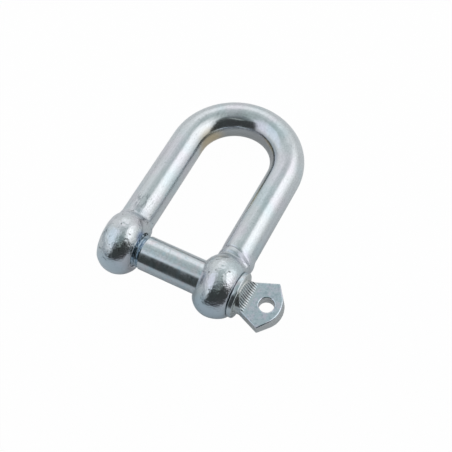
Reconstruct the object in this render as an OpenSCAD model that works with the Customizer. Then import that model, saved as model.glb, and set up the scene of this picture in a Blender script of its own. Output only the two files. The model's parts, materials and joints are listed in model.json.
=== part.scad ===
// Dee shackle with a screw collar pin, for joining chain, lying flat as it comes to rest.
// The origin is on the pin's axis, midway between the eyes. +X runs along the pin towards its head,
// +Y runs from the pin towards the bow's crown, and +Z is up.

/* [Bow] */
// Diameter of the bow's round bar
bar_d = 10; // [8:0.5:13]
// Clear width between the two eyes
inside_w = 18.8; // [16:0.1:30]
// From the pin's axis to the inside of the crown
inside_l = 48.5; // [42:0.5:90]
// How far each leg stands outside its eye's inner face
leg_step = 0.8; // [0.4:0.1:1.2]

/* [Eyes] */
// Diameter of each eye over its crowned rim
eye_d = 18; // [16:0.1:24]
// Thickness of each eye along the pin
eye_t = 10; // [9:0.1:12]
// Width of the flat ring round the hole on an eye's inner face
eye_face_w = 0.5; // [0.3:0.1:1.5]
// How far the rim's highest line lies outside the eye's middle
rim_shift = 0.4; // [0:0.1:1]
// Radius of the fillet from a leg into its eye
neck_fillet_r = 1.5; // [0.75:0.25:3]
// Length of plain neck between that fillet and the full round bar
neck_l = 1.9; // [0.5:0.1:6]
// Depth of the die mark that rings the plain eye's leg, where its slightly thinner neck meets the bar
die_mark = 0.15; // [0.05:0.05:0.4]
// Countersink at both mouths of the tapped hole
tapped_mouth = 0.8; // [0.3:0.1:0.9]

/* [Pin] */
// Diameter of the pin's plain shank
pin_d = 9.8; // [8:0.1:11]
// Diameter over the pin's thread
thread_d = 9.2; // [7:0.1:9.4]
// Length of thread left showing between the tapped eye and the shank's shoulder
thread_show = 1.4; // [0.8:0.1:3]
// Chamfer on the shank's shoulder
shoulder_chamfer = 0.25; // [0.1:0.05:0.3]
// How far the pin's tip lies inside the tapped eye's outer face
tip_recess = 0.4; // [0:0.1:2]
// Chamfer on the pin's tip
tip_chamfer = 0.9; // [0.3:0.1:1.5]
// Clearance all round the shank in the plain eye
shank_clearance = 0.3; // [0.1:0.05:0.5]
// Clearance all round the thread in the tapped eye
thread_clearance = 0.1; // [0.05:0.05:0.2]

/* [Pin head] */
// Diameter of the collar that stops against the plain eye
collar_d = 13.7; // [12.4:0.1:16]
// Thickness of the collar
collar_t = 1.7; // [1:0.1:3]
// Diameter of the waisted neck behind the collar
neck_d = 9.6; // [8.5:0.1:10.5]
// Radius of the fillet from the collar into the neck
collar_fillet_r = 0.8; // [0.4:0.1:1.4]
// Length of plain round neck left before the ramps start
ramp_land = 0.3; // [0.1:0.1:1]
// Length of the ramp from the round neck down to the flat tab
ramp_l = 2.4; // [1.5:0.1:4]
// Radius that the foot of each ramp runs out on, into the tab
ramp_foot_r = 2.4; // [0.5:0.1:4]
// Angle that the ramps are struck at, across the pin
ramp_skew = 10; // [0:1:15]

/* [Tab] */
// Width of the flattened tab over its two corners
tab_w = 14.6; // [11:0.1:20]
// Width of the tab where it leaves the neck
tab_root_w = 9.2; // [7:0.1:9.4]
// Thickness of the tab
tab_t = 3.2; // [2:0.1:5]
// From the collar's seat to the tab's two corners
tab_corner_x = 10.1; // [9:0.1:14]
// How far the tab's rounded end stands past its corners
tab_end_rise = 4.2; // [2:0.1:6]
// Diameter of the hole in the tab
tab_hole_d = 4.3; // [3:0.1:5]
// From the collar's seat to the hole's centre
tab_hole_x = 9.6; // [8.5:0.1:11]
// Turn of the tab about the pin, from the bow's own plane
tab_turn = 1; // [-180:1:180]

/* [Hidden] */
$fn = 96;
bow_colour = [0.74, 0.77, 0.79];
pin_colour = [0.70, 0.74, 0.77];
cut_past = 1;
// The die's flat lies this far below the tab's face, so that the two never share a plane
die_sink = 0.05;

bar_r = bar_d / 2;
eye_r = eye_d / 2;
pin_r = pin_d / 2;
thread_r = thread_d / 2;
collar_r = collar_d / 2;
neck_r = neck_d / 2;

// The eyes' inner faces, the outer faces that the collar seats on, and the legs' and crown's centre lines
face_x = inside_w / 2;
seat_x = face_x + eye_t;
leg_x = face_x + leg_step + bar_r;
crown_y = inside_l + bar_r - leg_x;

// The tilt at which both eyes and the crown touch one flat surface
rest_tilt = asin((eye_r - bar_r) / (inside_l + bar_r));

// The eye's crowned rim is an arc that ends at the flat ring round the hole on the inner face
plain_hole_r = pin_r + shank_clearance;
tapped_hole_r = thread_r + thread_clearance;
rim_drop = eye_r - plain_hole_r - eye_face_w;
rim_x = face_x + eye_t / 2 + rim_shift;
rim_reach = rim_x - face_x;
rim_arc_r = (rim_drop * rim_drop + rim_reach * rim_reach) / (2 * rim_drop);

// A neck's fillet touches its round stem and the eye's rim, seen along the pin
marked_r = bar_r - die_mark;
neck_foot = eye_r / (eye_r + neck_fillet_r);
function fillet_y(stem_r) = sqrt(pow(eye_r + neck_fillet_r, 2) - pow(stem_r + neck_fillet_r, 2));
bar_y = fillet_y(marked_r) + neck_l;
flank_y = collar_r + (fillet_y(bar_r) - collar_r) / 4;

// Places along the pin's head, all taken from the collar's seat
neck_x = seat_x + collar_t + collar_fillet_r;
ramp_x = neck_x + ramp_land;
die_flat_z = tab_t / 2 - die_sink;
ramp_slope = (neck_r - die_flat_z) / ramp_l;
ramp_angle = atan(ramp_slope);
ramp_foot_l = ramp_foot_r * tan(ramp_angle / 2);
neck_end_x = ramp_x + ramp_l + ramp_foot_l + neck_r * tan(ramp_skew);
corner_x = seat_x + tab_corner_x;
tip_x = corner_x + tab_end_rise;
tab_end_r = (pow(tab_end_rise, 2) + pow(tab_w / 2, 2)) / (2 * tab_end_rise);

// Lays the shackle down on its two eyes and its crown
module at_rest() {
    rotate([-rest_tilt, 0, 0]) children();
}

// Revolves a profile, drawn as radius and length, about the X axis
module turned() {
    rotate([0, 90, 0]) rotate_extrude() children();
}

// A round hole along X that runs from one place to another
module cross_hole(r, from_x, to_x) {
    translate([from_x, 0, 0]) rotate([0, 90, 0]) cylinder(r = r, h = to_x - from_x);
}

// What the countersink takes out of a mouth of the tapped hole, going in along Z
module countersink() {
    translate([0, 0, -cut_past])
        cylinder(r1 = tapped_hole_r + tapped_mouth + cut_past, r2 = tapped_hole_r, h = tapped_mouth + cut_past);
}

// The U-bend and its two straight legs
module bar() {
    translate([0, crown_y, 0]) rotate_extrude(angle = 180) translate([leg_x, 0]) circle(bar_r);
    for (side = [-1, 1])
        translate([side * leg_x, bar_y, 0]) rotate([-90, 0, 0]) cylinder(r = bar_r, h = crown_y - bar_y);
}

// One forged eye, its crowned rim turned about the pin's axis
module eye() {
    turned() intersection() {
        translate([0, face_x]) square([eye_r, eye_t]);
        translate([eye_r - rim_arc_r, rim_x]) circle(rim_arc_r);
    }
}

// The round neck that runs from the bar into the eye, struck flat on its outer side to clear the collar.
// Its stem runs on inside the bar, so that the two are one forging.
module neck(stem_r) {
    fillet_top = fillet_y(stem_r);
    foot_r = neck_foot * (stem_r + neck_fillet_r);
    outer_x = leg_x + bar_r + cut_past;
    stem_y = bar_y + neck_l;
    intersection() {
        translate([leg_x, 0, 0]) rotate([-90, 0, 0]) rotate_extrude() {
            square([stem_r, stem_y]);
            difference() {
                square([foot_r, fillet_top]);
                translate([stem_r + neck_fillet_r, fillet_top]) circle(neck_fillet_r);
            }
        }
        linear_extrude(height = 2 * eye_r, center = true) polygon([
            [face_x, 0], [seat_x, 0], [seat_x, flank_y], [outer_x, bar_y], [outer_x, stem_y], [face_x, stem_y]
        ]);
    }
}

module bow() {
    color(bow_colour) at_rest() difference() {
        union() {
            bar();
            for (side = [0, 1]) mirror([side, 0, 0]) {
                eye();
                neck(side == 0 ? marked_r : bar_r);
            }
        }
        cross_hole(plain_hole_r, face_x - cut_past, seat_x + cut_past);
        cross_hole(tapped_hole_r, -seat_x - cut_past, -face_x + cut_past);
        translate([-face_x, 0, 0]) rotate([0, -90, 0]) countersink();
        translate([-seat_x, 0, 0]) rotate([0, 90, 0]) countersink();
    }
}

// Threaded end, shoulder, shank, collar and waisted neck, all turned about the pin's axis
module turned_pin() {
    tip = tip_recess - seat_x;
    shoulder = thread_show - face_x;
    turned() union() {
        polygon([
            [0, tip], [thread_r - tip_chamfer, tip], [thread_r, tip + tip_chamfer], [thread_r, shoulder],
            [pin_r - shoulder_chamfer, shoulder], [pin_r, shoulder + shoulder_chamfer], [pin_r, seat_x], [0, seat_x]
        ]);
        translate([0, seat_x]) square([collar_r - collar_t / 2, collar_t]);
        translate([collar_r - collar_t / 2, seat_x + collar_t / 2]) circle(collar_t / 2);
        difference() {
            translate([0, seat_x + collar_t]) square([neck_r + collar_fillet_r, collar_fillet_r]);
            translate([neck_r + collar_fillet_r, neck_x]) circle(collar_fillet_r);
        }
        translate([0, neck_x]) square([neck_r, neck_end_x - neck_x]);
    }
}

// What the die presses away above the tab, down the ramp from the round neck and out on its foot to the flat
module ramp_cut() {
    reach = 2 * collar_r;
    translate([ramp_x, 0, 0]) rotate([0, 0, ramp_skew]) rotate([90, 0, 0])
        linear_extrude(height = 2 * reach, center = true) {
            polygon([
                [-ramp_land, neck_r + ramp_slope * ramp_land],
                [ramp_l - ramp_foot_l * cos(ramp_angle), die_flat_z + ramp_foot_l * sin(ramp_angle)],
                [ramp_l + ramp_foot_l, die_flat_z], [reach, die_flat_z], [reach, reach], [-ramp_land, reach]
            ]);
            translate([ramp_l + ramp_foot_l, die_flat_z + ramp_foot_r]) circle(ramp_foot_r);
        }
}

// The flattened fan-shaped tab with its rounded end and hole
module tab() {
    flare = (tab_w - tab_root_w) / 2 / (corner_x - neck_x);
    start_x = seat_x + collar_t;
    start_w = tab_root_w / 2 - flare * (neck_x - start_x);
    far_w = tab_root_w / 2 + flare * (tip_x - neck_x);
    linear_extrude(height = tab_t, center = true) difference() {
        intersection() {
            polygon([
                [start_x, -start_w], [tip_x, -far_w], [tip_x, far_w], [start_x, start_w]
            ]);
            translate([tip_x - tab_end_r, 0]) circle(tab_end_r);
        }
        translate([seat_x + tab_hole_x, 0]) circle(d = tab_hole_d);
    }
}

module screw_pin() {
    color(pin_colour) at_rest() rotate([tab_turn, 0, 0]) {
        difference() {
            turned_pin();
            for (side = [0, 1]) mirror([0, 0, side]) ramp_cut();
        }
        tab();
    }
}

bow();
screw_pin();
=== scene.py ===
import json
import math

import bmesh
import bpy
from mathutils import Matrix, Vector, noise


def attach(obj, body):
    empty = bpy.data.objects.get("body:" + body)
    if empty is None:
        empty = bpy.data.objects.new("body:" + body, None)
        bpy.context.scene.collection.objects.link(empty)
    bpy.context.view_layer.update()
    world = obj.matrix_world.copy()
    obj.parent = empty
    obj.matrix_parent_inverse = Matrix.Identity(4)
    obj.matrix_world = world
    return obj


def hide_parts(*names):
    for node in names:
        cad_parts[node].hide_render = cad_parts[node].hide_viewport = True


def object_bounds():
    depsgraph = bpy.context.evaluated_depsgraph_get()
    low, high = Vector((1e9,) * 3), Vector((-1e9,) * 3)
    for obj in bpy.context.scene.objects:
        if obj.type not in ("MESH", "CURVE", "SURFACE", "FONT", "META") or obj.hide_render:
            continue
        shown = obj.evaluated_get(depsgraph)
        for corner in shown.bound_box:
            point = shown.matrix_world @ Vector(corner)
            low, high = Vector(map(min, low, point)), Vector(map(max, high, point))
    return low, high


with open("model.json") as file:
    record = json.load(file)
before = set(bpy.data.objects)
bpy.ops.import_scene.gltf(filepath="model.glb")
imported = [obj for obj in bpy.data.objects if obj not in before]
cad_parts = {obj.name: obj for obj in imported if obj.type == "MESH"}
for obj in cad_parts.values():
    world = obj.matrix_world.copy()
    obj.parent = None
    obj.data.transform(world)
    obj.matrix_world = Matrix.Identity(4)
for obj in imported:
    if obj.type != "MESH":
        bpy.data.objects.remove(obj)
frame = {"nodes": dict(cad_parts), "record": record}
cad_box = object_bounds()


# Bow
# One steel forging: a round bar bent to a U, its two ends upset in a die to eyes, one drilled for the pin's
# shank and one tapped for its thread. The eyes keep the die's hammered skin under the bright zinc plate.
mounts = {mount["name"]: mount for mount in frame["record"]["mounts"]}
rest_tilt = math.asin(mounts["bow_crown"]["axis"][2])
to_rest = Matrix.Rotation(-rest_tilt, 3, "X")
face_x = mounts["pin_span"]["dims"]["length_mm"] / 1000 / 2
eye_t = 0.0100
eye_r = 0.0090
eye_fade_r = 1.3 * eye_r
seat_x = face_x + eye_t
leg_x = 0.0152
weld_gap = 1e-7
skin_step = 0.00028
skin_passes = 5
skin_pull = 0.5


def new_piece(bm, name):
    """An object at the origin that holds the bmesh, which is freed."""
    mesh = bpy.data.meshes.new(name)
    bm.to_mesh(mesh)
    bm.free()
    piece = bpy.data.objects.new(name, mesh)
    bpy.context.scene.collection.objects.link(piece)
    return piece


def keep_modifiers(piece):
    """Puts what the piece's modifiers make into its own mesh."""
    depsgraph = bpy.context.evaluated_depsgraph_get()
    made = bpy.data.meshes.new_from_object(piece.evaluated_get(depsgraph))
    piece.modifiers.clear()
    piece.data = made


bm = bmesh.new()
bm.from_mesh(frame["nodes"]["bow"].data)
bmesh.ops.remove_doubles(bm, verts=bm.verts, dist=weld_gap)
bow = new_piece(bm, "bow_forging")
skin = bow.modifiers.new("forged skin", "REMESH")
skin.mode = "VOXEL"
skin.voxel_size = skin_step
keep_modifiers(bow)

# The solid lies as the shackle rests, tilted with its crown down. It is turned level while it is shaped.
bm = bmesh.new()
bm.from_mesh(bow.data)
bmesh.ops.rotate(bm, verts=bm.verts, cent=(0, 0, 0), matrix=to_rest.transposed())
for _ in range(skin_passes):
    bmesh.ops.smooth_vert(
        bm, verts=bm.verts, factor=skin_pull, use_axis_x=True, use_axis_y=True, use_axis_z=True,
    )

# The upper die sat a little to the right, which shifts the crest of both eyes. The plain eye stands a
# little proud outside, its inner rim is pressed in, and the die's step up to its leg is spread out. The
# shift and the press rise and fall between angles in degrees round the pin, from the front up.
crest_shift = 0.0007
shift_rise = (10, 50)
shift_fall = (85, 130)
seat_rise = 0.0006
rim_press = 0.0008
press_rise = (-8, 35)
press_fall = (70, 125)
bar_r = 0.0050
step_r = 0.00485
step_y = (0.0086, 0.0130)
step_play = 0.00008


def ease(low, high, value):
    """0 below low, 1 above high, and a smooth rise between."""
    share = min(max((value - low) / (high - low), 0.0), 1.0)
    return share * share * (3.0 - 2.0 * share)


def swell(rise, fall, value):
    """0, then 1 from the end of the rise to the start of the fall, then 0 again."""
    return ease(*rise, value) * (1.0 - ease(*fall, value))


def on_eye(y, z):
    """1 on an eye, fading to 0 up its leg."""
    return 1.0 - ease(eye_r, eye_fade_r, math.hypot(y, z))


for v in bm.verts:
    x, y, z = v.co
    above_front = math.degrees(math.atan2(z, -y))
    across_eye = min(max((abs(x) - face_x) / eye_t, 0.0), 1.0)
    crest = 4.0 * across_eye * (1.0 - across_eye)
    v.co.x += crest_shift * crest * swell(shift_rise, shift_fall, above_front) * on_eye(y, z)
    if x > 0:
        outer = seat_rise * ease(leg_x, seat_x, x)
        inner = rim_press * swell(press_rise, press_fall, above_front) * (1.0 - ease(face_x, leg_x, x))
        v.co.x += (outer + inner) * on_eye(y, z)
        from_leg = math.hypot(x - leg_x, z)
        if step_y[0] < y < step_y[1] and step_r - step_play < from_leg < bar_r + step_play:
            spread_out = (step_r + (bar_r - step_r) * ease(*step_y, y)) / from_leg
            v.co = (leg_x + (v.co.x - leg_x) * spread_out, y, z * spread_out)
bm.normal_update()

# The skin's marks: hammered dimples on the eyes, a low ring above each, a slanting die line on one leg, a few
# dents, and the tapped thread
dimple_size = 0.0019
dimple_depth = 0.00003
die_line_y = 0.0100
die_line_z = 0.0047
die_line_lean_x = -0.23
die_line_lean_z = 0.40
die_line_half_w = 0.00032
die_line_depth = 0.00010
ring_rise = 0.00024
other_ring_rise = 0.00006
ring_l = 0.0014
ring_fall = 0.0007
dent_r = 0.00055
dents = (
    (Vector((-0.0145, 0.0011, 0.0089)), 0.00010),
    (Vector((-0.0157, -0.0081, 0.0038)), 0.00008),
    (Vector((0.0152, 0.0014, 0.0089)), 0.00010),
    (Vector((0.0128, -0.0011, 0.0085)), 0.00006),
    (Vector((0.0126, -0.0062, 0.0057)), 0.00006),
    (Vector((0.0027, 0.0503, 0.0040)), 0.00003),
)
bore_r = 0.0047
bore_play = 0.0002
bore_rim = 0.0006
thread_pitch = 0.00125
thread_flat = 0.12
bore_thread_depth = 0.00045


def dish(off):
    """1 in the middle of a mark, and 0 from its edge on, where off is 1."""
    return max(0.0, 1.0 - off * off)


def thread_groove(along, y, z):
    """0 on the crest of a right-hand thread about the X axis, and 1 in its root."""
    turn = (along / thread_pitch - math.atan2(z, y) / math.tau) % 1.0
    flank = abs(2.0 * turn - 1.0)
    return min(max((flank - thread_flat) / (1.0 - 2.0 * thread_flat), 0.0), 1.0)


for v in bm.verts:
    x, y, z = v.co
    from_axis = math.hypot(y, z)
    if -seat_x < x < -face_x and from_axis < bore_r + bore_play:
        cut_out = 1.0 + bore_thread_depth * thread_groove(x, y, z) / from_axis
        v.co = (x, y * cut_out, z * cut_out)
    elif from_axis > bore_r + bore_rim:
        sunk = dimple_depth * on_eye(y, z) * (1.0 + noise.noise(v.co / dimple_size))
        off_side = ease(0.0, die_line_z / 2, abs(z))
        line_y = die_line_y
        rise = other_ring_rise
        if x > 0:
            line_y += die_line_lean_x * (x - leg_x) + die_line_lean_z * (abs(z) - die_line_z)
            rise = ring_rise
            sunk += die_line_depth * dish((y - line_y) / die_line_half_w) * off_side
        sunk -= rise * swell((0.0, ring_l), (ring_l, ring_l + ring_fall), line_y - y) * off_side
        for spot, depth in dents:
            sunk += depth * dish((v.co - spot).length / dent_r)
        v.co -= v.normal * sunk
bmesh.ops.rotate(bm, verts=bm.verts, cent=(0, 0, 0), matrix=to_rest)
for face in bm.faces:
    face.smooth = True
bm.to_mesh(bow.data)
bm.free()


def add_node(tree, kind, inputs, **settings):
    """A node with its settings and its inputs, each a plain value or another node's socket."""
    made = tree.nodes.new(kind)
    for name, value in settings.items():
        setattr(made, name, value)
    for name, value in inputs.items():
        if isinstance(value, bpy.types.NodeSocket):
            tree.links.new(value, made.inputs[name])
        else:
            made.inputs[name].default_value = value
    return made


def calc(tree, operation, *values):
    """One sum on values or sockets."""
    return add_node(tree, "ShaderNodeMath", dict(enumerate(values)), operation=operation).outputs["Value"]


def vector_calc(tree, operation, *values):
    """One sum on vectors, as the outputs Vector and Value."""
    return add_node(tree, "ShaderNodeVectorMath", dict(enumerate(values)), operation=operation).outputs


def product(tree, first, *others):
    """All the values multiplied."""
    for other in others:
        first = calc(tree, "MULTIPLY", first, other)
    return first


def clouds(tree, vector, scale, detail, roughness=0.5):
    """Soft noise of a scale per metre, about 0.5 on average."""
    inputs = {"Vector": vector, "Scale": scale, "Detail": detail, "Roughness": roughness}
    return add_node(tree, "ShaderNodeTexNoise", inputs).outputs["Fac"]


def spread(tree, value, low, high, to_low=0.0, to_high=1.0):
    """A smooth change from one level to another as the value goes from low to high."""
    inputs = {"Value": value, "From Min": low, "From Max": high, "To Min": to_low, "To Max": to_high}
    return add_node(tree, "ShaderNodeMapRange", inputs, interpolation_type="SMOOTHSTEP").outputs["Result"]


def mixed(tree, share, first, second, blend_type="MIX"):
    """A colour between two others."""
    inputs = {0: share, 6: first, 7: second}
    return add_node(tree, "ShaderNodeMix", inputs, data_type="RGBA", blend_type=blend_type).outputs[2]


# Bright zinc: clouds of cool and warm passivate tint, drawn streaks, fine grain, dark specks, dull patches
# and hammer pits. Each is soft noise of a scale per metre, and its band is where the noise brings it in.
cool_band = (0.48, 0.68)
warm_band = (0.50, 0.68)
warm_slide = (0.7, 0.3, 0.5)
streak_scale = 900
streak_stretch = (1, 0.06, 1)
streak_light = (0.9, 1.05)
streak_share = 0.5
streak_dull_band = (0.35, 0.7)
streak_dull = (-0.01, 0.03)
grain_scale = 2600
grain_light = (0.82, 1.08)
grain_share = 0.55
grain_relief = 0.06
hammered_grain_relief = 0.08
light_band = (0.3, 0.7)
speck_scale = 900
speck_band = (0.63, 0.70)
speck_share = 0.1
hammered_speck_share = 0.7
speck_dark = (0.10, 0.11, 0.11, 1)
patch_scale = 160
patch_dull_band = (0.35, 0.75)
patch_dull = (-0.02, 0.06)
pit_scale = 1150
pit_band = (0.32, 0.68)
zinc_plate = bpy.data.node_groups.new("Zinc plate", "ShaderNodeTree")
for in_out, kind, names in (
    ("INPUT", "NodeSocketVector", ("Vector",)),
    ("INPUT", "NodeSocketColor", ("Plate", "Cool", "Warm")),
    ("INPUT", "NodeSocketFloat", ("Tint", "Tint scale", "Roughness", "Hammer")),
    ("OUTPUT", "NodeSocketColor", ("Color",)),
    ("OUTPUT", "NodeSocketFloat", ("Roughness", "Height")),
):
    for name in names:
        zinc_plate.interface.new_socket(name, in_out=in_out, socket_type=kind)
tree = zinc_plate
given = tree.nodes.new("NodeGroupInput").outputs
place = given["Vector"]
warm_place = vector_calc(tree, "ADD", place, warm_slide)["Vector"]
cool_clouds = spread(tree, clouds(tree, place, given["Tint scale"], 2), *cool_band)
warm_clouds = spread(tree, clouds(tree, warm_place, given["Tint scale"], 1), *warm_band)
colour = mixed(tree, product(tree, cool_clouds, given["Tint"]), given["Plate"], given["Cool"])
colour = mixed(tree, product(tree, warm_clouds, given["Tint"]), colour, given["Warm"])
streaks = clouds(tree, vector_calc(tree, "MULTIPLY", place, streak_stretch)["Vector"], streak_scale, 2)
streaked = spread(tree, streaks, *light_band, *streak_light)
colour = mixed(tree, streak_share, colour, streaked, "MULTIPLY")
grain = clouds(tree, place, grain_scale, 3, 0.65)
grained = spread(tree, grain, *light_band, *grain_light)
colour = mixed(tree, grain_share, colour, grained, "MULTIPLY")
specks = spread(tree, clouds(tree, place, speck_scale, 3, 0.6), *speck_band)
specked = calc(tree, "MULTIPLY_ADD", given["Hammer"], hammered_speck_share, speck_share)
colour = mixed(tree, product(tree, specks, specked), colour, speck_dark)
dull_patches = spread(tree, clouds(tree, place, patch_scale, 3), *patch_dull_band, *patch_dull)
dull_streaks = spread(tree, streaks, *streak_dull_band, *streak_dull)
roughness = calc(tree, "ADD", given["Roughness"], calc(tree, "ADD", dull_patches, dull_streaks))
pits = spread(tree, clouds(tree, place, pit_scale, 2, 0.55), *pit_band)
hammered = calc(tree, "MULTIPLY_ADD", grain, hammered_grain_relief, pits)
relief = calc(tree, "MULTIPLY_ADD", grain, grain_relief, product(tree, hammered, given["Hammer"]))
add_node(tree, "NodeGroupOutput", {"Color": colour, "Roughness": roughness, "Height": relief})


def zinc_material(name, relief_depth, levels):
    """A bright zinc metal on the object's own coordinates, whose colour is still to be linked."""
    material = bpy.data.materials.new(name)
    material.use_nodes = True
    tree = material.node_tree
    place = tree.nodes.new("ShaderNodeTexCoord").outputs["Object"]
    plating = add_node(tree, "ShaderNodeGroup", {"Vector": place, **levels}, node_tree=zinc_plate)
    bump = add_node(tree, "ShaderNodeBump", {"Distance": relief_depth, "Height": plating.outputs["Height"]})
    shader = tree.nodes["Principled BSDF"]
    shader.inputs["Metallic"].default_value = 1.0
    tree.links.new(plating.outputs["Roughness"], shader.inputs["Roughness"])
    tree.links.new(bump.outputs["Normal"], shader.inputs["Normal"])
    return material, tree, place, plating, shader


def near(tree, place, spot, full_r, none_r):
    """1 within a distance of a spot on the object, fading to 0."""
    return spread(tree, vector_calc(tree, "DISTANCE", place, spot)["Value"], full_r, none_r, 1.0, 0.0)


bow_relief = 0.00003
bow_levels = {
    "Plate": (0.695, 0.73, 0.745, 1),
    "Cool": (0.60, 0.71, 0.74, 1),
    "Warm": (0.74, 0.71, 0.76, 1),
    "Tint": 0.6,
    "Tint scale": 110,
    "Roughness": 0.16,
}
hammered_r = (1.02 * eye_r, 1.25 * eye_r)
leg_hammer = 0.12
bore_clean_r = (0.0053, 0.0058)
bow_zinc, tree, place, plating, shader = zinc_material("bow_zinc", bow_relief, bow_levels)
across_pin = vector_calc(tree, "MULTIPLY", place, (0, 1, 1))["Vector"]
from_pin = vector_calc(tree, "LENGTH", across_pin)["Value"]
on_eyes = spread(tree, from_pin, *hammered_r, 1.0, leg_hammer)
out_of_bore = spread(tree, from_pin, *bore_clean_r)
tree.links.new(product(tree, on_eyes, out_of_bore), plating.inputs["Hammer"])

# Painted shade: the inner face of the crown's bend is darkened grey
bend_y = 0.0382
bend_run = 0.005
bend_shade_r = (0.0105, 0.0110)
bend_shade_most = 0.8
bend_shade_grey = (0.33, 0.35, 0.36, 1)
up_leg = add_node(tree, "ShaderNodeSeparateXYZ", {"Vector": place}).outputs["Y"]
in_plan = vector_calc(tree, "MULTIPLY", place, (1, 1, 0))["Vector"]
in_bend = near(tree, in_plan, (0, bend_y, 0), *bend_shade_r)
past_legs = spread(tree, up_leg, bend_y, bend_y + bend_run)
bend_shade_share = product(tree, in_bend, past_legs, bend_shade_most)
colour = mixed(tree, bend_shade_share, plating.outputs["Color"], bend_shade_grey)

# Stains, and painted shade: straw inside the bend, shade painted grey in the creases over both eyes, lilac
# beside one of them, and blue at the tapped mouth. Each has its spot, the distances at which it is full and
# gone, its share and its colour.
stains_and_shades = (
    ((-0.0097, 0.0410, -0.0010), (0.0024, 0.0066), 0.85, (0.62, 0.52, 0.34, 1)),
    # The next two are painted shade: grey that darkens the creases over both eyes
    ((0.0152, 0.0080, 0.0047), (0.0012, 0.0030), 0.6, (0.36, 0.42, 0.44, 1)),
    ((-0.0134, 0.0077, 0.0047), (0.0010, 0.0030), 0.4, (0.38, 0.45, 0.49, 1)),
    ((0.0180, 0.0086, 0.0040), (0.0010, 0.0032), 0.5, (0.58, 0.57, 0.68, 1)),
    ((-0.0094, 0.0010, 0.0054), (0.0008, 0.0026), 0.75, (0.24, 0.34, 0.52, 1)),
)
for spot, reach, share, stain_and_shade_colour in stains_and_shades:
    stain_and_shade_near = near(tree, place, to_rest @ Vector(spot), *reach)
    colour = mixed(tree, product(tree, stain_and_shade_near, share), colour, stain_and_shade_colour)

# Painted shade along the die line: a dark grey line drawn down its groove
line_shade_reach = (0.0034, 0.0056)
line_shade_half_w = (0.00008, 0.00026)
line_shade_share = 0.6
line_shade = (0.33, 0.35, 0.38, 1)
line_spot = to_rest @ Vector((leg_x, die_line_y, die_line_z))
line_up = to_rest @ Vector((-die_line_lean_x, 1, -die_line_lean_z))
line_level = die_line_y - die_line_lean_x * leg_x - die_line_lean_z * die_line_z
above_line = calc(tree, "SUBTRACT", vector_calc(tree, "DOT_PRODUCT", place, line_up)["Value"], line_level)
on_line = spread(tree, calc(tree, "ABSOLUTE", above_line), *line_shade_half_w, line_shade_share, 0.0)
in_line = product(tree, near(tree, place, line_spot, *line_shade_reach), on_line)
colour = mixed(tree, in_line, colour, line_shade)

# A ragged smudge drawn along the other leg
smudge_spot = to_rest @ Vector((-0.0148, 0.0120, 0.0050))
smudge_reach = (0.0010, 0.0050)
smudge_stretch = (1, 0.25, 1)
smudge_scale = 1500
smudge_band = (0.46, 0.66)
smudge_share = 0.75
smudge_grey = (0.24, 0.27, 0.29, 1)
drawn = vector_calc(tree, "MULTIPLY", place, smudge_stretch)["Vector"]
ragged = spread(tree, clouds(tree, drawn, smudge_scale, 3, 0.6), *smudge_band, 0.0, smudge_share)
smudge = product(tree, near(tree, place, smudge_spot, *smudge_reach), ragged)
colour = mixed(tree, smudge, colour, smudge_grey)

# Blue passivate shows on the eyes' fronts
front_y = (-0.0082, -0.0055)
front_share = 0.5
front_blue = (0.58, 0.71, 0.80, 1)
colour = mixed(tree, spread(tree, up_leg, *front_y, front_share, 0.0), colour, front_blue)
tree.links.new(colour, shader.inputs["Base Color"])
bow.data.materials.append(bow_zinc)
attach(bow, "bow")
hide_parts("bow")


# Screw pin
# One steel forging, turned and threaded: a threaded end, a plain shank with a shoulder, a collar that stops
# on the plain eye, and a head pressed flat to a fan-shaped tab with a hole. The die leaves fine grooves down
# its two ramps.
pin_r = mounts["pin_span"]["dims"]["r_mm"] / 1000
tip_x = -0.0190
tip_chamfer = 0.0009
thread_r = 0.0046
thread_touch = 1e-6
pin_thread_depth = 0.00062
thread_run_out = 0.0004
thread_shown_l = 0.0014
rows_per_turn = 16
shoulder_x = thread_shown_l - face_x
shoulder_chamfer = 0.00025
collar_x = seat_x + seat_rise
collar_r = 0.0065
collar_t = 0.0015
collar_rim_r = 0.0004
collar_fillet_r = 0.0003
neck_r = 0.0048
neck_x = collar_x + collar_t + collar_fillet_r
ramp_rise = 0.0003
ramp_x = collar_x + collar_t + ramp_rise
ramp_l = 0.0019
ramp_foot_r = 0.0020
tab_t = mounts["head_hole"]["dims"]["length_mm"] / 1000
die_bite = 0.00005
die_flat_z = tab_t / 2 - die_bite
ramp_angle = math.atan((neck_r - die_flat_z) / ramp_l)
ramp_foot_l = ramp_foot_r * math.tan(ramp_angle / 2)
neck_end_x = ramp_x + ramp_l + ramp_foot_l
turned_steps = 128
collar_steps = 8


def line_on(bm, points):
    """Edges from point to point in the plane of X and Y, and their vertices."""
    verts = [bm.verts.new((x, y, 0)) for x, y in points]
    return verts + [bm.edges.new(pair) for pair in zip(verts, verts[1:])]


def arc(centre_x, centre_y, radius, from_deg, to_deg, steps):
    """Points round an arc, with the angle measured from the X direction towards Y."""
    angles = [math.radians(from_deg + (to_deg - from_deg) * i / steps) for i in range(steps + 1)]
    return [(centre_x + radius * math.cos(a), centre_y + radius * math.sin(a)) for a in angles]


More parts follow.
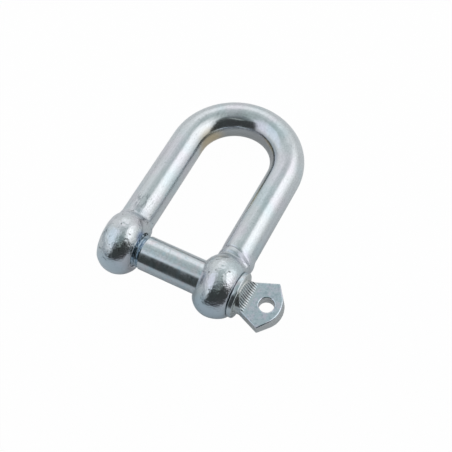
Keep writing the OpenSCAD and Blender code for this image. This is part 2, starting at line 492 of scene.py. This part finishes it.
thread_rows = int((shoulder_x - tip_x) / thread_pitch * rows_per_turn)
row_step = (shoulder_x - tip_x - tip_chamfer) / thread_rows
rim_y = collar_r - collar_rim_r
profile = [(tip_x, 0), (tip_x, thread_r - tip_chamfer)]
profile += [(tip_x + tip_chamfer + row_step * i, thread_r) for i in range(thread_rows + 1)]
profile += [(shoulder_x, pin_r - shoulder_chamfer), (shoulder_x + shoulder_chamfer, pin_r), (collar_x, pin_r)]
profile += arc(collar_x + collar_rim_r, rim_y, collar_rim_r, 180, 90, collar_steps)
profile += arc(collar_x + collar_t - collar_rim_r, rim_y, collar_rim_r, 90, 0, collar_steps)
profile += arc(neck_x, neck_r + collar_fillet_r, collar_fillet_r, 180, 270, collar_steps)
profile += [(neck_end_x, neck_r), (neck_end_x, 0)]
bm = bmesh.new()
bmesh.ops.spin(
    bm, geom=line_on(bm, profile), cent=(0, 0, 0), axis=(1, 0, 0), angle=math.tau, steps=turned_steps,
    use_merge=True,
)
bmesh.ops.remove_doubles(bm, verts=bm.verts, dist=weld_gap)
for v in bm.verts:
    x, y, z = v.co
    radius = math.hypot(y, z)
    if x < shoulder_x - thread_touch and radius > thread_r - tip_chamfer - thread_touch:
        full_thread = 1.0 - ease(shoulder_x - thread_run_out, shoulder_x, x)
        cut = pin_thread_depth * thread_groove(x, y, z) * full_thread
        cut_in = 1.0 - max(cut - (thread_r - radius), 0.0) / radius
        v.co = (x, y * cut_in, z * cut_in)
bmesh.ops.recalc_face_normals(bm, faces=bm.faces)
pin = new_piece(bm, "screw_pin_forging")

# The fan-shaped tab, with its rounded end, its hole and its edges eased
tab_hole_r = mounts["head_hole"]["dims"]["r_mm"] / 1000
tab_hole_x = mounts["head_hole"]["pos_m"][0]
tab_hole_steps = 48
tab_start_x = seat_x + 0.0017
tab_start_half_w = 0.0038
tab_corner_x = seat_x + 0.0101
tab_half_w = 0.0073
tab_tip_x = seat_x + 0.0139
tab_end_r = 0.0071
tab_end_half_angle = 38
tab_end_steps = 32
tab_end_draft = 0.00035
tab_edge_bevel = 0.00028
tab_edge_steps = 3
tab_edge_angle = math.radians(30)
tab_flat_angle = 0.01
outline = [(tab_start_x, -tab_start_half_w), (tab_corner_x, -tab_half_w)]
outline += arc(tab_tip_x - tab_end_r, 0, tab_end_r, -tab_end_half_angle, tab_end_half_angle, tab_end_steps)
outline += [(tab_corner_x, tab_half_w), (tab_start_x, tab_start_half_w)]
hole_place = Matrix.Translation((tab_hole_x, 0, 0))
bm = bmesh.new()
line_on(bm, outline + outline[:1])
bmesh.ops.remove_doubles(bm, verts=bm.verts, dist=weld_gap)
bmesh.ops.create_circle(bm, segments=tab_hole_steps, radius=tab_hole_r, matrix=hole_place)
bmesh.ops.triangle_fill(bm, use_beauty=True, edges=bm.edges)
bmesh.ops.translate(bm, verts=bm.verts, vec=(0, 0, -tab_t / 2))
wall = bmesh.ops.extrude_face_region(bm, geom=bm.faces[:])
raised = [v for v in wall["geom"] if isinstance(v, bmesh.types.BMVert)]
bmesh.ops.translate(bm, verts=raised, vec=(0, 0, tab_t))
for v in bm.verts:
    v.co.x -= math.copysign(tab_end_draft, v.co.z) * ease(tab_corner_x, tab_tip_x, v.co.x)
bmesh.ops.recalc_face_normals(bm, faces=bm.faces)
bmesh.ops.dissolve_limit(bm, angle_limit=tab_flat_angle, verts=bm.verts, edges=bm.edges)
bmesh.ops.bevel(
    bm, geom=[e for e in bm.edges if e.is_manifold and e.calc_face_angle() > tab_edge_angle],
    offset=tab_edge_bevel, offset_type="OFFSET", segments=tab_edge_steps, profile=0.5, affect="EDGES",
    material=-1,
)
tab = new_piece(bm, "tab")

# The die that strikes a ramp: its face runs down the ramp and out on the foot, with teeth all across
tooth_pitch = 0.00070
tooth_depth = 0.00013
tooth_full_tilt = 0.6 * ramp_angle
die_half_w = 0.0065
die_steps = 210
die_reach = 0.0140
die_face_top = neck_r + 0.001
ramp_steps = 8
foot_steps = 10


def die_tilt(x):
    """Angle of the die's face at a place along the ramp, from the ramp's slope to the flat."""
    on_foot = min(max((ramp_l + ramp_foot_l - x) / ramp_foot_r, 0.0), 1.0)
    return min(math.asin(on_foot), ramp_angle)


ramp_top = Vector((-ramp_rise, neck_r + ramp_rise * math.tan(ramp_angle)))
ramp_end = Vector((
    ramp_l - ramp_foot_l * math.cos(ramp_angle),
    die_flat_z + ramp_foot_l * math.sin(ramp_angle),
))
foot_centre = (ramp_l + ramp_foot_l, die_flat_z + ramp_foot_r)
face_line = [(ramp_top.x, die_reach)]
face_line += [ramp_top.lerp(ramp_end, i / ramp_steps) for i in range(ramp_steps)]
face_line += arc(*foot_centre, ramp_foot_r, 270 - math.degrees(ramp_angle), 270, foot_steps)
face_line += [(die_reach, die_flat_z), (die_reach, die_reach), (ramp_top.x, die_reach)]
dies = []
for side in (1, -1):
    bm = bmesh.new()
    bmesh.ops.spin(
        bm, geom=line_on(bm, face_line), cent=(0, 0, 0), axis=(0, 0, 1), angle=0.0, steps=die_steps,
        dvec=(0, 0, 2 * die_half_w / die_steps),
    )
    bmesh.ops.remove_doubles(bm, verts=bm.verts, dist=weld_gap)
    bmesh.ops.holes_fill(bm, edges=bm.edges)
    bmesh.ops.translate(bm, verts=bm.verts, vec=(0, 0, -die_half_w))
    for v in bm.verts:
        x, up, across = v.co
        tilt = die_tilt(x) if up < die_face_top else 0.0
        tooth = 0.5 - 0.5 * math.cos(math.tau * across / tooth_pitch)
        sunk = tooth_depth * tooth * ease(0.0, tooth_full_tilt, tilt)
        v.co = (x - sunk * math.sin(tilt), across, side * (up - sunk * math.cos(tilt)))
    bmesh.ops.translate(bm, verts=bm.verts, vec=(ramp_x, 0, 0))
    bmesh.ops.recalc_face_normals(bm, faces=bm.faces)
    dies.append(new_piece(bm, "ramp_die"))

for operation, tool in (("DIFFERENCE", dies[0]), ("DIFFERENCE", dies[1]), ("UNION", tab)):
    step = pin.modifiers.new(tool.name, "BOOLEAN")
    step.operation = operation
    step.solver = "EXACT"
    step.object = tool
keep_modifiers(pin)
for tool in (*dies, tab):
    bpy.data.objects.remove(tool)

# The head stands at its angle round the pin. Its large faces stay flat, and the rest is shaded round.
tab_tilt = -math.asin(mounts["head_hole"]["axis"][1])
crease_angle = math.radians(32)
flat_area = 0.000005
pin.data.set_sharp_from_angle(angle=crease_angle)
bm = bmesh.new()
bm.from_mesh(pin.data)
for face in bm.faces:
    face.smooth = face.calc_area() < flat_area or face.calc_center_median().x < neck_x
bmesh.ops.rotate(bm, verts=bm.verts, cent=(0, 0, 0), matrix=Matrix.Rotation(tab_tilt, 3, "X"))
bm.to_mesh(pin.data)
bm.free()

pin_relief = 0.00001
pin_levels = {
    "Plate": (0.675, 0.725, 0.75, 1),
    "Cool": (0.58, 0.70, 0.76, 1),
    "Warm": (0.74, 0.71, 0.74, 1),
    "Tint": 0.7,
    "Tint scale": 420,
    "Roughness": 0.14,
    "Hammer": 0.15,
}
pin_zinc, tree, place, plating, shader = zinc_material("pin_zinc", pin_relief, pin_levels)

# Blue passivate pools in the thread
thread_blue = (0.44, 0.54, 0.62, 1)
thread_blue_share = 0.85
thread_blue_edge = 0.0002
along_pin = add_node(tree, "ShaderNodeSeparateXYZ", {"Vector": place}).outputs["X"]
on_thread = spread(tree, along_pin, shoulder_x - thread_blue_edge, shoulder_x, thread_blue_share, 0.0)
colour = mixed(tree, on_thread, plating.outputs["Color"], thread_blue)

# The neck is faintly straw coloured
neck_straw = (0.66, 0.67, 0.62, 1)
neck_straw_share = 0.7
collar_back_x = (collar_x + 0.8 * collar_t, collar_x + collar_t)
past_rim = spread(tree, along_pin, *collar_back_x)
before_tab = spread(tree, along_pin, neck_x, neck_end_x, neck_straw_share, 0.0)
colour = mixed(tree, product(tree, past_rim, before_tab), colour, neck_straw)

# Painted shade lies in the ramps' grooves: dark grey drawn down each groove
groove_shade = (0.28, 0.31, 0.32, 1)
groove_shade_share = 0.42
groove_band = (-0.9, 0.2)
tab_side = (0, math.cos(tab_tilt), math.sin(tab_tilt))
across_tab = vector_calc(tree, "DOT_PRODUCT", place, tab_side)["Value"]
groove = calc(tree, "COSINE", product(tree, across_tab, math.tau / tooth_pitch))
in_groove = spread(tree, groove, *groove_band, 1.0, 0.0)
past_ramp_top = spread(tree, along_pin, ramp_x - ramp_rise, ramp_x + ramp_rise)
before_flat = spread(tree, along_pin, ramp_x + ramp_l, neck_end_x, groove_shade_share, 0.0)
colour = mixed(tree, product(tree, past_ramp_top, before_flat, in_groove), colour, groove_shade)

# The tab is bluer, with blotches of lilac and grey. Its sheared walls and its hole are plain grey.
tab_blue = (0.61, 0.72, 0.79, 1)
tab_blue_share = 0.5
lilac_scale = 650
lilac_band = (0.46, 0.64)
lilac_most = 0.7
lilac = (0.77, 0.72, 0.82, 1)
grey_scale = 1100
grey_band = (0.48, 0.68)
grey_most = 0.6
grey = (0.40, 0.49, 0.54, 1)
wall_grey = (0.66, 0.65, 0.63, 1)
tab_run = 0.0005
tab_up = (0, -math.sin(tab_tilt), math.cos(tab_tilt))
wall_z = tab_t / 2 - tab_edge_bevel
past_neck = spread(tree, along_pin, neck_end_x, neck_end_x + tab_run)
lilac_share = spread(tree, clouds(tree, place, lilac_scale, 3, 0.6), *lilac_band, 0.0, lilac_most)
grey_share = spread(tree, clouds(tree, place, grey_scale, 3, 0.65), *grey_band, 0.0, grey_most)
off_middle = calc(tree, "ABSOLUTE", vector_calc(tree, "DOT_PRODUCT", place, tab_up)["Value"])
wall_share = spread(tree, off_middle, wall_z, wall_z + tab_edge_bevel / 2, 1.0, 0.0)
for share, tint in (
    (tab_blue_share, tab_blue), (lilac_share, lilac), (grey_share, grey), (wall_share, wall_grey),
):
    colour = mixed(tree, product(tree, past_neck, share), colour, tint)
tree.links.new(colour, shader.inputs["Base Color"])
pin.data.materials.append(pin_zinc)
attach(pin, "pin")
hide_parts("screw_pin")


# Floor
# A pale sheet that the shackle lies on. The camera sees it white but for a faint shadow, and the metal sees
# it fall into shade towards the front.
floor_half = 3.0
camera_white = 0.985
mirror_white = (0.06, 0.30)
mirror_white_y = (-0.03, 0.05)
away_from_shade = (-0.5, 1, 0)
floor_stops = (
    (-0.125, (0.06, 0.06, 0.07)), (-0.090, (0.18, 0.19, 0.20)), (-0.060, (0.62, 0.66, 0.69)),
    (-0.020, (0.70, 0.74, 0.77)), (0.010, (0.78, 0.80, 0.82)), (0.060, (0.88, 0.88, 0.88)),
)
floor_place = Matrix.Translation((0, 0, cad_box[0].z))
bm = bmesh.new()
bmesh.ops.create_grid(bm, x_segments=1, y_segments=1, size=floor_half, matrix=floor_place)
floor = new_piece(bm, "floor")


def colour_ramp(tree, value, stops):
    """A smooth run of colours at places from 0 to 1."""
    made = add_node(tree, "ShaderNodeValToRGB", {"Fac": value})
    made.color_ramp.interpolation = "EASE"
    elements = made.color_ramp.elements
    while len(elements) < len(stops):
        elements.new(1.0)
    for element, (place, colour) in zip(elements, stops):
        element.position = place
        element.color = (*colour, 1)
    return made.outputs["Color"]


floor_white = bpy.data.materials.new("floor_white")
floor_white.use_nodes = True
tree = floor_white.node_tree
tree.nodes.clear()
place = tree.nodes.new("ShaderNodeTexCoord").outputs["Object"]
back_y = vector_calc(tree, "DOT_PRODUCT", place, away_from_shade)["Value"]
first_y = floor_stops[0][0]
run_y = floor_stops[-1][0] - first_y
along_run = calc(tree, "DIVIDE", calc(tree, "SUBTRACT", back_y, first_y), run_y)
stops = [((y - first_y) / run_y, shade) for y, shade in floor_stops]
matt = add_node(tree, "ShaderNodeBsdfDiffuse", {"Color": colour_ramp(tree, along_run, stops)}).outputs["BSDF"]
white = tree.nodes.new("ShaderNodeEmission").outputs["Emission"]
seen = tree.nodes.new("ShaderNodeLightPath").outputs
straight = product(tree, seen["Is Camera Ray"], camera_white)
mirrored = calc(tree, "MAXIMUM", seen["Is Glossy Ray"], seen["Is Transmission Ray"])
mirror_share = spread(tree, back_y, *mirror_white_y, *mirror_white)
white_share = calc(tree, "MULTIPLY_ADD", mirrored, mirror_share, straight)
both = add_node(tree, "ShaderNodeMixShader", {0: white_share, 1: matt, 2: white}).outputs["Shader"]
add_node(tree, "ShaderNodeOutputMaterial", {"Surface": both})
floor.data.materials.append(floor_white)


# Studio light
# A white tent round the shackle: pale walls that darken to a grey ceiling, a bright panel on the right, a
# dimmer one on the left, and a dark gap in front that reaches up to where the camera stands, with a thin
# light strip across its top. The camera sees white all round.
zenith = 90
wall_stops = (
    (0, (0.64, 0.66, 0.67)), (10, (0.78, 0.80, 0.81)), (22, (0.83, 0.85, 0.86)), (40, (0.78, 0.81, 0.83)),
    (52, (0.64, 0.69, 0.70)), (62, (0.52, 0.58, 0.59)), (74, (0.45, 0.51, 0.51)), (90, (0.31, 0.37, 0.37)),
)
# Each panel's colour, then its middle, half width and edge in degrees round from the front, then the same in
# height, then how far its middle moves round with each degree of height
panels = (
    # On the left: shade near the floor, a small bright panel at the back, and the dimmer one
    ((0.44, 0.48, 0.52), (-66, 44, 16), (-10, 28, 12), 0.0),
    ((1.05, 1.06, 1.08), (-155, 17, 9), (30, 13, 6), 0.0),
    ((0.88, 0.93, 1.02), (-70, 40, 8), (47, 21, 10), -0.4),
    # On the right: the bright panel
    ((1.36, 1.36, 1.38), (127, 35, 13), (45, 21, 17), 0.0),
    # In front: dusk over the gap, the gap's top, its right and left parts, and the light strip
    ((0.22, 0.26, 0.27), (28, 55, 10), (67, 13, 7), 0.0),
    ((0.09, 0.10, 0.10), (44, 38, 8), (58, 11, 5), 0.0),
    ((0.052, 0.058, 0.058), (54, 36, 4), (14, 43, 5), -0.3),
    ((0.052, 0.058, 0.058), (14, 40, 4), (14, 43, 5), -0.15),
    ((0.56, 0.65, 0.63), (26, 8, 4), (58, 6, 2), 2.8),
)
world = bpy.data.worlds.new("studio")
bpy.context.scene.world = world
world.use_nodes = True
tree = world.node_tree
tree.nodes.clear()
way = tree.nodes.new("ShaderNodeTexCoord").outputs["Generated"]
way_x, way_y, way_z = add_node(tree, "ShaderNodeSeparateXYZ", {"Vector": way}).outputs
turn = calc(tree, "DEGREES", calc(tree, "ARCTAN2", way_x, product(tree, way_y, -1.0)))
height = calc(tree, "DEGREES", calc(tree, "ARCSINE", way_z))
stops = [(up / zenith, shade) for up, shade in wall_stops]
colour = colour_ramp(tree, calc(tree, "DIVIDE", height, zenith), stops)
for panel_colour, (middle, half_w, edge), (middle_up, half_h, edge_up), lean in panels:
    above = calc(tree, "SUBTRACT", height, middle_up)
    leaning_turn = calc(tree, "MULTIPLY_ADD", above, -lean, turn)
    beside = calc(tree, "WRAP", calc(tree, "SUBTRACT", leaning_turn, middle), 180, -180)
    in_width = spread(tree, calc(tree, "ABSOLUTE", beside), half_w - edge, half_w + edge, 1.0, 0.0)
    in_height = spread(tree, calc(tree, "ABSOLUTE", above), half_h - edge_up, half_h + edge_up, 1.0, 0.0)
    colour = mixed(tree, product(tree, in_width, in_height), colour, (*panel_colour, 1))
seen = tree.nodes.new("ShaderNodeLightPath").outputs
colour = mixed(tree, seen["Is Camera Ray"], colour, (1, 1, 1, 1))
background = add_node(tree, "ShaderNodeBackground", {"Color": colour}).outputs["Background"]
add_node(tree, "ShaderNodeOutputWorld", {"Surface": background})
bpy.context.scene.view_settings.view_transform = "Standard"


# Camera
# A still camera with a long lens. It looks down from the front right, held a little out of level, and is slid
# along its own frame until the shackle stands where it should.
camera_turn = math.radians(31.64)
camera_height = math.radians(62.46)
camera_roll = math.radians(5.10)
camera_distance = 0.2815
camera_target = Vector((0.005, 0.022, 0))
frame_slide = (-0.000565, 0.005227)
camera = bpy.data.objects.new("camera", bpy.data.cameras.new("camera"))
bpy.context.scene.collection.objects.link(camera)
camera.data.lens = 80.2
camera.data.sensor_width = 36
camera.data.clip_start = 0.01
camera.data.clip_end = 20
back = Vector((
    math.sin(camera_turn) * math.cos(camera_height),
    -math.cos(camera_turn) * math.cos(camera_height),
    math.sin(camera_height),
))
level_right = Vector((math.cos(camera_turn), math.sin(camera_turn), 0))
level_up = back.cross(level_right)
right = math.cos(camera_roll) * level_right - math.sin(camera_roll) * level_up
up = math.sin(camera_roll) * level_right + math.cos(camera_roll) * level_up
turned = Matrix((right, up, back)).transposed().to_4x4()
location = camera_target + camera_distance * back - frame_slide[0] * right - frame_slide[1] * up
camera.matrix_world = Matrix.Translation(location) @ turned
bpy.context.scene.camera = camera
